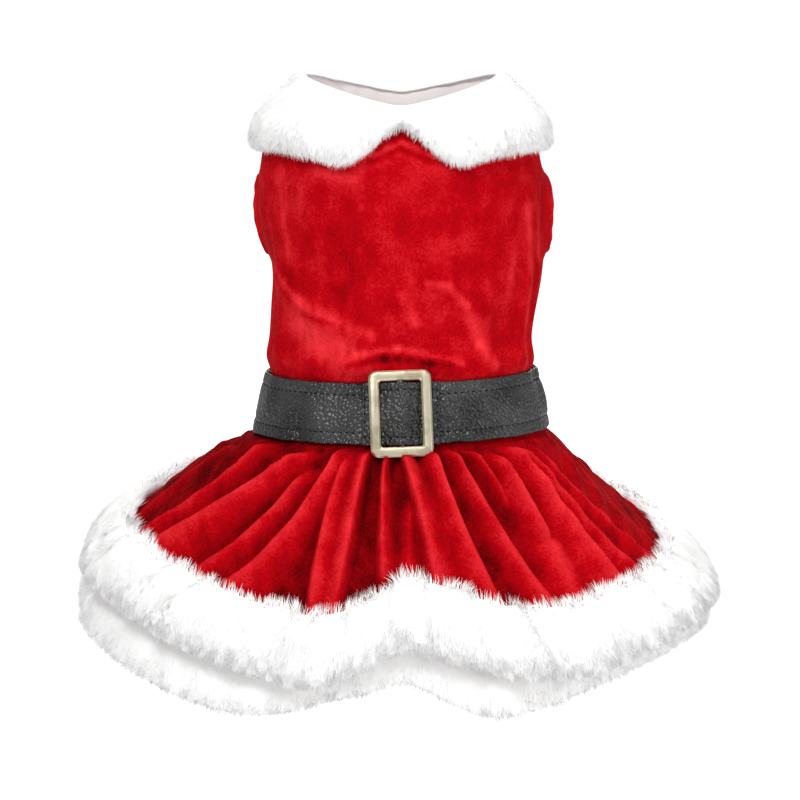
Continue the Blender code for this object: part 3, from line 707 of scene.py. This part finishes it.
def foldHeight(angle, share):
    # Broad panels that end in a crest with a steep side, as gathered velvet hangs: the height of the
    # cloth, and how near a crest it is.
    height = np.full(np.broadcast(angle, share).shape, -0.1)
    edge = np.zeros(height.shape)
    for atBelt, halfWay, atHem, left, right, tall, start, end in allFolds():
        middle = (
            atBelt * (1 - share) * (1 - 2 * share) + halfWay * 4 * share * (1 - share)
            + atHem * share * (2 * share - 1)
        )
        away = wrap(angle - middle)
        away = np.abs(away) / (np.where(away < 0, left, right) * (0.62 + 0.62 * share))
        crest = np.maximum(1 - away**1.6, 0)
        rise = step01((share - start) / 0.12) * step01((end - share) / 0.16)
        rising = tall * crest * rise
        # the taller of two crests wins, with a little rounding where they meet
        both = np.clip(0.5 + 0.5 * (rising - height) / skirtLook["merge"], 0, 1)
        edge = edge * (1 - both) + crest**9 * rise * both
        height = height * (1 - both) + rising * both + skirtLook["merge"] * both * (1 - both)
    return height, edge


def skirtOut(angle, share):
    look = skirtLook
    calm = step01(share / (0.06 + 0.15 * bell(angle / 15)))
    height, _ = foldHeight(angle, np.clip(share, 0, 1.2))
    out = look["height"] * height * (1 - 0.5 * np.clip(share, 0, 1) ** 3)
    x = np.radians(angle) * (0.08 + 0.08 * share)
    y = share * 0.11
    out = out + look["dent"] * ripple(x, y, look["dentSize"], 11) * calm
    fine = look["gather"] * ripple(x, y * 0.22, 0.0095, 13) * bell((share - 0.06) / 0.17)
    return (out + fine) * calm


def upperTier(angle, share):
    out = skirtOut(angle, share)
    leant = angle + skirtLook["lean"] * np.sin(np.radians(angle)) * out / skirtLook["height"]
    _, normal, _, _ = surfaceFrame(plainSkirt, leant, np.maximum(share, 0.01))
    return plainSkirt(leant, share) + normal * out[..., None]


def makeTier(name, tier, endOf, layer, rows, node):
    depth = clothForm["gap"] + layer * (clothForm["wall"] + clothForm["gap"])
    tuckRows = 5 / rows

    def place(u, v):
        angle = aroundDress(u)
        up = np.clip((tuckRows - v) / tuckRows, 0, 1)
        share = np.maximum(v - tuckRows, 0) / (1 - tuckRows) * endOf(angle)
        tucked = inside(beltInner(angle, 1 - beltForm["tuck"] * up), depth)
        tucked[..., 2] -= (beltForm["skirtStart"] + depth - clothForm["gap"]) * (1 - up)
        hanging = tier(wrap(angle), np.maximum(share, 1e-4))
        return np.where((v <= tuckRows + 1e-9)[..., None], tucked, hanging)

    def napAndPaintedLightOf(u, v):
        # Painted shade in the valleys, painted highlights on the crests and along their edges and painted
        # sheen towards the right side, with real streaks of pile.
        look = skirtLook
        angle = wrap(aroundDress(u))
        share = np.maximum(v - tuckRows, 0) / (1 - tuckRows)
        x = np.radians(angle) * (0.08 + 0.08 * share)
        streaks = 0.05 * ripple(x, share * 0.05, 0.008, 15, 14)
        height, edge = foldHeight(angle, share)
        napAndPaintedLight = look["paintedValleyShade"] + look["paintedCrestHighlight"] * np.clip(height, 0, 1) ** 0.6
        right = look["paintedRightSheen"] * bell((angle - 68) / 34)
        return napAndPaintedLight + right + look["paintedEdgeSheen"] * edge * (1 - 0.5 * share) + streaks

    columns = skirtLook["columns"] if layer == 0 else skirtLook["columns"] * 2 // 3
    mesh = bentGrid(name, columns, rows, place, napAndPaintedLightOf)
    faceOutward(mesh)
    piece = addPiece(name, mesh, redVelvet, [node])
    addWall(piece, clothForm["wall"])
    return piece


upperPiece = makeTier("upperTierVelvet", upperTier, np.ones_like, 0, skirtLook["upperRows"], "skirt_upper")
underPiece = makeTier("underTierVelvet", plainUnder, underEnd, 1, skirtLook["underRows"], "skirt_under")
print("skirts made")

# Fur

collarLook = {
    "width": 0.0375, "depth": 0.0118, "seat": 0.0012, "reach": torsoForm["chestHalfWidth"],
    "angle": [0, 7, 14, 21, 28, 45, 90, 180],
    "share": [0.22, 0.43, 0.7, 0.86, 0.9, 0.91, 1.0, 0.92],
    "columns": 180, "body": 0.78, "strands": 52000, "length": 0.0056, "clump": 0.005, "thinTop": 0.66,
    "round": 0.42, "edgeShort": 0.0, "topLong": 0.0, "upward": 0.0, "from": 0.07, "edgeShade": 0.34,
    "rim": 0.0032, "rimDrop": 0.003, "lining": 2.6,
}
upperTrimLook = {
    "width": 0.0365, "overhang": 0.0022, "depth": 0.0105, "seat": 0.0009, "reach": 0.145,
    "columns": 320, "body": 0.76, "strands": 60000, "length": 0.0056, "clump": 0.0052, "thinTop": 0.0,
    "round": 0.58, "edgeShort": 0.5, "topLong": 0.45, "upward": 1.0, "from": 0.0, "edgeShade": 0.85,
}
underTrimLook = {
    "width": 0.0315, "overhang": 0.0028, "depth": 0.0079, "seat": 0.0009, "reach": 0.145,
    "columns": 320, "body": 0.76, "strands": 46000, "length": 0.0054, "clump": 0.005, "thinTop": 0.0,
    "round": 0.58, "edgeShort": 0.45, "topLong": 0.0, "upward": 0.4, "from": 0.0, "edgeShade": 0.5,
}
strandLook = {
    "width": 0.00038, "lift": 0.62, "lay": 0.8, "away": 0.16, "gather": 0.512, "stray": 0.075,
    "evenShare": 0.72, "parting": 0.13, "sink": 0.0006, "scatter": 0.36, "sway": 0.3,
    "bendAt": 0.45, "tipAt": 0.62,
}


def collarSheet(angle, along):
    # The bodice's outer face under the collar, 0 at the neck edge and 1 at the lobes' edge.
    c, angle = collarLook, wrap(angle)
    fall = c["width"] * smoothRead(c["angle"], c["share"], np.abs(angle))
    return plainTorso(angle, neckEdge(angle) - fall * along)


def sectionOf(v, look):
    # A fur body's section: share down the band and share of its depth, once round for v from 0 to 1.
    turn = 2 * math.pi * v
    along = 0.5 - 0.52 * np.cos(turn)
    out = np.power(np.maximum(np.sin(turn), 0), np.where(v < 0.25, 0.62, look["round"])) * (v < 0.5)
    if look["thinTop"]:
        out = out * (1 - look["thinTop"] * (1 - step01(along / 0.8)))
        out = out - 0.45 * bell(v / 0.035) - 0.45 * bell((1 - v) / 0.035)
    return along, out * look["body"]


def addFurBody(name, mesh, nodes):
    # The backing that the locks stand on, in the fur's middle tone.
    writeValues(mesh, "shade", np.full(len(mesh.vertices), 0.55))
    piece = addPiece(name, mesh, whiteFur, nodes)


def furLocks(name, look, sheet, span, share, seed):
    # Tapered strands in locks: each rises from the body, leans down and draws in to its lock's tip.
    hair, roll = strandLook, np.random.default_rng(seed)
    count = int(look["strands"] * share)
    angle = roll.uniform(span[0], span[1], count)
    even = np.arccos(1 - 2 * roll.uniform(0.005, 0.995, count)) / (2 * math.pi)
    v = np.where(roll.uniform(0, 1, count) < hair["evenShare"], even, roll.uniform(0.01, 0.53, count))
    v = look["from"] + v * (1 - 2 * look["from"])

    def skinAt(v):
        along, out = sectionOf(v, look)
        point, normal, across, down = surfaceFrame(sheet, angle, along)
        return point + normal * (look["seat"] + look["depth"] * out)[..., None], along, across, down

    here, along, across, down = skinAt(v)
    skin = unit(np.cross(unit(skinAt(v + 0.004)[0] - here), across))
    here = here - skin * hair["sink"]
    x, y = np.radians(angle) * look["reach"], along * look["width"]
    size = look["clump"]
    cellX, cellY = np.floor(x / size), np.floor(y / size)
    toX = (cellX + 0.5 + hair["scatter"] * np.sin(cellX * 12.9898 + cellY * 78.233)) * size - x
    toY = (cellY + 0.5 + hair["scatter"] * np.sin(cellX * 39.3468 + cellY * 11.135)) * size - y
    tall = 0.9 + 0.1 * np.sin(cellX * 5.31 + cellY * 3.77)
    hem = 1 - look["edgeShort"] * step01((v - 0.38) / 0.12) + look["topLong"] * (1 - step01(v / 0.12))
    length = look["length"] * roll.uniform(0.75, 1.15, count) * tall * hem
    stray = roll.normal(0, hair["stray"], (count, 3))
    lay = -look["upward"] + (1 + look["upward"]) * step01((along + 0.02) / 0.13)
    sway = hair["sway"] * ripple(x, y, 0.03, seed + 5)
    rise = unit(skin * hair["lift"] + down * (hair["lay"] * lay)[..., None] + stray)
    fall = unit(
        skin * hair["away"] + down * lay[..., None] + across * sway[..., None] + stray * 2
        + (across * toX[..., None] + down * toY[..., None]) / size * hair["gather"]
    )
    middle = here + rise * (length * hair["bendAt"])[..., None]
    tip = middle + fall * (length * hair["tipAt"])[..., None]
    aside = unit(np.cross(fall, skin) + stray)
    half = hair["width"] / 2 * roll.uniform(0.7, 1.3, count)[..., None]
    wide, narrow = aside * half, aside * half * 0.9
    points = np.stack([here - wide, here + wide, middle + narrow, middle - narrow, tip], axis=1)
    points = points.reshape(-1, 3)
    mesh = bpy.data.meshes.new(name)
    mesh.vertices.add(len(points))
    mesh.vertices.foreach_set("co", points.ravel())
    mesh.loops.add(count * 7)
    corners = (np.arange(count) * 5)[:, None] + np.array([0, 1, 2, 3, 3, 2, 4])
    mesh.loops.foreach_set("vertex_index", corners.ravel().astype(np.int32))
    mesh.polygons.add(count * 2)
    starts = (np.arange(count) * 7)[:, None] + np.array([0, 4])
    mesh.polygons.foreach_set("loop_start", starts.ravel().astype(np.int32))
    mesh.update(calc_edges=True)
    mesh.validate()
    # Painted shade in the strands' colour: darker at the roots, in the partings between locks and in
    # streaks along a band's lower edge.
    shadeInParting = step01((np.hypot(toX, toY) / size - 0.25) / 0.45) * hair["parting"]
    streak = 0.7 + 0.3 * np.sin(cellX * 2.71 + cellY * 4.13) + 0.3 * ripple(x, y * 0.2, 0.006, seed + 9)
    lowerEdgeShade = look["edgeShade"] * step01((along - 0.46) / 0.5) * streak
    tone = (roll.uniform(0.46, 0.8, count) - shadeInParting - lowerEdgeShade)[:, None]
    tone = tone + np.array([-0.2, -0.2, 0.15, 0.15, 0.3])
    writeValues(mesh, "shade", tone.ravel())
    addPiece(name, mesh, whiteFur, None)
    soft = np.repeat(unit(skin + stray * 0.7), 5, axis=0)
    mesh.normals_split_custom_set_from_vertices(soft)


def bandSheet(tier, endOf, look):
    # The cloth under a trim, as a band: 0 at its upper edge, 1 at its lower one.
    knots = np.linspace(-180, 180, 361)
    ends = endOf(knots)
    cloth = look["width"] - look["overhang"]
    starts = shareAbove(tier, knots, ends, cloth)

    def sheet(angle, along):
        turned = wrap(angle)
        end = np.interp(turned, knots, ends)
        start = np.interp(turned, knots, starts)
        metres = along * look["width"]
        share = start + (end - start) * np.clip(metres / cloth, 0, 1)
        point = tier(turned, share)
        down = unit(tier(turned, end) - tier(turned, end - 0.02))
        up = unit(tier(turned, start) - tier(turned, start + 0.02))
        past = np.maximum(metres - cloth, 0)
        before = np.maximum(-metres, 0)
        return point + down * past[..., None] + up * before[..., None]

    return sheet


def makeCollarRim():
    # The fur turns over the neck edge, deepest on the belly side, so that no velvet shows along it.
    look = collarLook

    def place(u, v):
        angle, turn = 360 * u - 180, 2 * math.pi * v
        middle = plainTorso(angle, neckEdge(angle) - look["rimDrop"])
        outward = plainOutward(angle) * np.cos(turn)[..., None]
        deeper = look["lining"] * step01(-2 * np.cos(np.radians(angle))) * (np.sin(turn) < 0)
        outward[..., 2] += np.sin(turn) * (1 + deeper)
        swell = 1 + 0.1 * ripple(np.radians(angle) * 0.06, v * 0.02, 0.012, 27)
        return middle + outward * (look["rim"] * swell)[..., None]

    addFurBody("collarFurRim", bentGrid("collarFurRim", look["columns"], 14, place), None)


def makeFurBand(name, look, sheet, node, locks):
    # A soft roll, flat where it is sewn on, and the locks that stand on it.

    def place(u, v):
        angle = 360 * u - 180
        along, out = sectionOf(v, look)
        point, normal, _, _ = surfaceFrame(sheet, angle, along)
        swell = 1 + 0.12 * ripple(np.radians(angle) * look["reach"], along * 0.04, 0.022, 21)
        return point + normal * (look["seat"] + look["depth"] * out * swell)[..., None]

    addFurBody(name + "Body", bentGrid(name + "Body", look["columns"], 24, place), [node])
    for ending, span, share, seed in locks:
        furLocks(name + ending, look, sheet, span, share, seed)


def makeFurPieces():
    makeCollarRim()
    makeFurBand("collarFur", collarLook, collarSheet, "fur_collar", [("Locks", (-180, 180), 1.0, 31)])
    makeFurBand(
        "upperTrim", upperTrimLook, bandSheet(upperTier, np.ones_like, upperTrimLook), "fur_trim_upper",
        [("Locks", (-104, 104), 1.0, 32), ("LocksBelly", (104, 256), 0.47, 33)],
    )
    makeFurBand(
        "underTrim", underTrimLook, bandSheet(plainUnder, underEnd, underTrimLook), "fur_trim_under",
        [("Locks", (-180, 180), 1.0, 34)],
    )


makeFurPieces()
print("fur made")

# Belt, tab and buckle

beltLook = {
    "columns": 260, "rows": 54, "faceRows": 46, "edge": 0.0008, "stitchInset": 0.0063, "groove": 0.0006,
    "grooveWidth": 0.0011, "stitchLength": 0.0026, "stitchPitch": 0.0037, "stitchRadius": 0.00042,
    "swell": 0.0005, "wave": 0.0008, "waveSize": 0.017,
}
tabLook = {
    "height": 0.0335, "halfLength": 0.021, "wall": 0.0018, "barRadius": 0.0015, "arch": 0.012,
    "buckleHalf": 0.0169, "buckleBar": 0.0056, "stitchInset": 0.0042, "endInset": 0.0016,
    "columns": 64, "rows": 52, "faceRows": 40,
}


def strapSection(v, faceRows, rows, even):
    # Once round a strap: if v is on its face, the share down the face, and the share back up behind.
    x = np.clip(v * rows / faceRows, 0, 1)
    share = even * x + (1 - even) * (0.5 - 0.5 * np.cos(math.pi * x))
    back = np.clip((v * rows - faceRows) / (rows - faceRows), 0, 1)
    return v <= faceRows / rows, share, back


def workedDown(near, fromEdge, inset):
    # How much lower leather lies at its rounded edge and in the groove under its stitches.
    look = beltLook
    bend = 1 - np.clip(near / look["edge"], 0, 1)
    groove = look["groove"] * bell((fromEdge - inset) / look["grooveWidth"])
    return look["edge"] * (1 - np.sqrt(1 - bend**2)) + groove


def beltOut(share):
    # How far the belt's outer face stands off its inner one.
    look, b = beltLook, beltForm
    down = share * b["height"]
    fromEdge = np.minimum(down, b["height"] - down)
    middle = look["swell"] * np.sin(math.pi * share) ** 2
    return b["wall"] + middle - workedDown(fromEdge, fromEdge, look["stitchInset"])


def beltPoint(angle, share, lift=0.0):
    look = beltLook
    away = np.abs(wrap(angle))
    wave = ripple(np.radians(angle) * torsoForm["waistHalfWidth"], share * 0.02, look["waveSize"], 41)
    wave = look["wave"] * wave * step01((away - 12) / 12)
    return inside(beltInner(angle, share), -(beltOut(share) + wave + lift))


def makeBelt():
    # A closed band: down its outer face, then back up its inner one.
    look = beltLook

    def place(u, v):
        angle = 360 * u - 180
        onFace, share, back = strapSection(v, look["faceRows"], look["rows"], 0.6)
        closing = (back >= 1)[..., None]
        rest = np.where(closing, beltPoint(angle, np.zeros_like(u)), beltInner(angle, 1 - back))
        return np.where(onFace[..., None], beltPoint(angle, share), rest)

    mesh = bentGrid("beltLeather", look["columns"], look["rows"], place)
    addPiece("beltLeather", mesh, blackLeather, ["belt"])


def stitchMesh(name, places):
    # Short rounded stitches, each given by its middle, its run and the way out of the leather.
    look = beltLook
    bm = bmesh.new()
    for middle, run, out in places:
        made = bmesh.ops.create_icosphere(bm, subdivisions=1, radius=1.0)
        aside = np.cross(run, out)
        for vert in made["verts"]:
            x, y, z = vert.co
            offset = (
                run * (x * look["stitchLength"] / 2) + aside * (y * look["stitchRadius"])
                + out * (z * look["stitchRadius"])
            )
            vert.co = Vector(middle + offset)
    mesh = bpy.data.meshes.new(name)
    bm.to_mesh(mesh)
    bm.free()
    return mesh


def stitchRow(points, outs):
    # Stitches at an even pitch along a path of points with the way out at each.
    pitch = beltLook["stitchPitch"]
    lengths = np.concatenate(([0], np.linalg.norm(np.diff(points, axis=0), axis=1).cumsum()))
    count = max(int(lengths[-1] / pitch), 1)

    def read(values, station):
        return np.array([np.interp(station, lengths, values[:, k]) for k in range(3)])

    places = []
    for station in (np.arange(count) + 0.5) * lengths[-1] / count:
        run = read(points, station + pitch / 4) - read(points, station - pitch / 4)
        places.append((read(points, station), unit(run), unit(read(outs, station))))
    return places


def makeBeltStitches():
    b, look = beltForm, beltLook
    angle = np.linspace(-180, 180, 721)
    places = []
    for share in (look["stitchInset"] / b["height"], 1 - look["stitchInset"] / b["height"]):
        points = beltPoint(angle, np.full_like(angle, share), -0.0001)
        places += stitchRow(points, unit(points * np.array([1, 1, 0])))
    addPiece("beltStitches", stitchMesh("beltStitches", places), darkThread, None)


def frontOut():
    # The way out of the belt's middle on the side on show.
    face = inside(beltInner(np.zeros(2), np.array([0.5, 0.25])), -beltForm["wall"])
    return unit(np.cross(unit(np.array([1, 0, beltForm["tilt"]])), unit(face[1] - face[0])))


def tabLift(across):
    tab, gap = tabLook, clothForm["gap"]
    over = 2 * tab["barRadius"] + gap
    reach = tab["buckleHalf"] - tab["buckleBar"] - gap
    away = np.clip(np.abs(across) / reach, 0, 1)
    arch = 1 - np.sqrt(np.square(away) + tab["arch"])
    return over * arch / (1 - math.sqrt(tab["arch"])) * (away < 1)


def tabPoint(across, up, lift):
    share = 0.5 - up / beltForm["height"]
    halfWidth = inside(beltInner(np.full_like(across, 90.0), share), -beltForm["wall"])[..., 0]
    angle = np.degrees(np.arcsin(across / halfWidth))
    face = inside(beltInner(angle, share), -beltForm["wall"])
    return face + frontOut() * (clothForm["gap"] + lift)[..., None]


def makeTab():
    # A strap behind the buckle's side bars and over its centre bar, with soft edges.
    tab = tabLook

    def place(u, v):
        across = tab["halfLength"] * (2 * u - 1)
        onFace, share, back = strapSection(v, tab["faceRows"], tab["rows"], 0.55)
        up = tab["height"] * (0.5 - np.where(onFace, share, 1 - back))
        fromEdge = tab["height"] / 2 - np.abs(up)
        fromEnd = tab["halfLength"] - np.abs(across)
        near = np.minimum(fromEdge, fromEnd + 0.0002)
        face = tab["wall"] - workedDown(near, fromEdge, tab["stitchInset"])
        lift = tabLift(across) + np.where(onFace | (back >= 1), face, 0)
        return tabPoint(across, up, lift)

    mesh = bentGrid("tabLeather", tab["columns"], tab["rows"], place)
    bm = bmesh.new()
    bm.from_mesh(mesh)
    bmesh.ops.holes_fill(bm, edges=[edge for edge in bm.edges if edge.is_boundary], sides=0)
    bmesh.ops.recalc_face_normals(bm, faces=bm.faces)
    bm.to_mesh(mesh)
    bm.free()
    addPiece("tabLeather", mesh, blackLeather, ["buckle_tab"])
    places = []

    def sew(across, up, above):
        points = tabPoint(across, up, tabLift(across) + tab["wall"] - above)
        return stitchRow(points, np.tile(frontOut(), (len(points), 1)))

    across = np.linspace(-tab["halfLength"] + 0.002, tab["halfLength"] - 0.002, 121)
    for side in (-1, 1):
        up = np.full_like(across, side * (tab["height"] / 2 - tab["stitchInset"]))
        places += sew(across, up, beltLook["groove"])
    up = np.linspace(-tab["height"] / 2 + 0.003, tab["height"] / 2 - 0.003, 41)
    for side in (-1, 1):
        across = np.full_like(up, side * (tab["halfLength"] - tab["endInset"]))
        places += sew(across, up, 0.0001)
    addPiece("tabStitches", stitchMesh("tabStitches", places), darkThread, None)


def makeBuckle():
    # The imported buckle's own shape with its edges softened.
    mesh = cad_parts["buckle"].data.copy()
    mesh.materials.clear()
    bm = bmesh.new()
    bm.from_mesh(mesh)
    bmesh.ops.remove_doubles(bm, verts=bm.verts, dist=1e-6)
    bmesh.ops.dissolve_limit(bm, angle_limit=0.02, verts=bm.verts, edges=bm.edges)
    bm.to_mesh(mesh)
    bm.free()
    piece = addPiece("buckleBrass", mesh, paleBrass, ["buckle"])
    soften = piece.modifiers.new("softEdges", "BEVEL")
    soften.width = 0.0004
    soften.segments = 3
    soften.limit_method = "ANGLE"
    soften.angle_limit = math.radians(28)
    mesh.set_sharp_from_angle(angle=math.radians(50))


makeBelt()
makeBeltStitches()
makeTab()
makeBuckle()
print("belt and buckle made")

# Floor, light and camera

studio = {
    "floorDrop": 0.16, "floorReach": 40.0, "floorGlow": 0.75,
    "floor": {"Base Color": (0.9, 0.9, 0.9, 1), "Roughness": 0.9, "Emission Color": (1, 1, 1, 1)},
    "world": 0.4, "backdrop": 1.0,
    "elevation": 8.0, "distance": 3.0, "frameWidth": 0.44,
    "aim": (-0.0005, 0.0, -0.1694), "exposure": 0.0,
}
# where each light stands, its size in metres and its power in watts
lights = [
    {"name": "keyLight", "at": (-0.7, -1.9, 1.6), "size": 0.8, "power": 40.0},
    {"name": "fillLight", "at": (1.7, -1.7, 0.4), "size": 1.2, "power": 18.0},
    {"name": "topLight", "at": (0.2, -0.2, 2.0), "size": 1.0, "power": 18.0},
    {"name": "backLight", "at": (0.3, 2.2, 0.8), "size": 1.5, "power": 14.0},
]


def makeStudio():
    s = studio
    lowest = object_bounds()[0][2]
    bm = bmesh.new()
    bmesh.ops.create_grid(bm, x_segments=1, y_segments=1, size=s["floorReach"])
    bmesh.ops.translate(bm, verts=bm.verts, vec=(0, 0, lowest - s["floorDrop"]))
    mesh = bpy.data.meshes.new("studioFloor")
    bm.to_mesh(mesh)
    bm.free()
    material, floorNodes, floorLinks, shader = newMaterial("paleFloor", s["floor"])
    # the floor glows for the camera alone, so that it shows white without lighting the dress
    toCamera = floorNodes.new("ShaderNodeLightPath")
    glow = floorNodes.new("ShaderNodeMath")
    glow.operation = "MULTIPLY"
    glow.inputs[1].default_value = s["floorGlow"]
    floorLinks.new(toCamera.outputs["Is Camera Ray"], glow.inputs[0])
    floorLinks.new(glow.outputs["Value"], shader.inputs["Emission Strength"])
    mesh.materials.append(material)
    floor = addObject("studioFloor", mesh)
    world = bpy.data.worlds.new("paleStudio")
    world.use_nodes = True
    nodes, links = world.node_tree.nodes, world.node_tree.links
    light = nodes["Background"]
    setInputs(light, {"Color": (1, 1, 1, 1), "Strength": s["world"]})
    seen = nodes.new("ShaderNodeBackground")
    setInputs(seen, {"Color": (1, 1, 1, 1), "Strength": s["backdrop"]})
    path = nodes.new("ShaderNodeLightPath")
    mix = nodes.new("ShaderNodeMixShader")
    links.new(path.outputs["Is Camera Ray"], mix.inputs[0])
    links.new(light.outputs[0], mix.inputs[1])
    links.new(seen.outputs[0], mix.inputs[2])
    links.new(mix.outputs[0], nodes["World Output"].inputs["Surface"])
    bpy.context.scene.world = world
    aim = Vector(s["aim"])
    for made in lights:
        data = bpy.data.lights.new(made["name"], "AREA")
        data.size = made["size"]
        data.energy = made["power"]
        lamp = addObject(made["name"], data)
        lamp.location = made["at"]
        lamp.rotation_euler = (aim - lamp.location).to_track_quat("-Z", "Y").to_euler()
    lens = bpy.data.cameras.new("photoCamera")
    lens.sensor_width = 36.0
    lens.lens = 36.0 * s["distance"] / s["frameWidth"]
    camera = addObject("photoCamera", lens)
    tip = math.radians(s["elevation"])
    camera.location = aim + Vector((0, -math.cos(tip), math.sin(tip))) * s["distance"]
    camera.rotation_euler = (aim - camera.location).to_track_quat("-Z", "Y").to_euler()
    scene = bpy.context.scene
    scene.camera = camera
    scene.view_settings.view_transform = "Standard"
    scene.view_settings.exposure = s["exposure"]


makeStudio()
print("studio made")
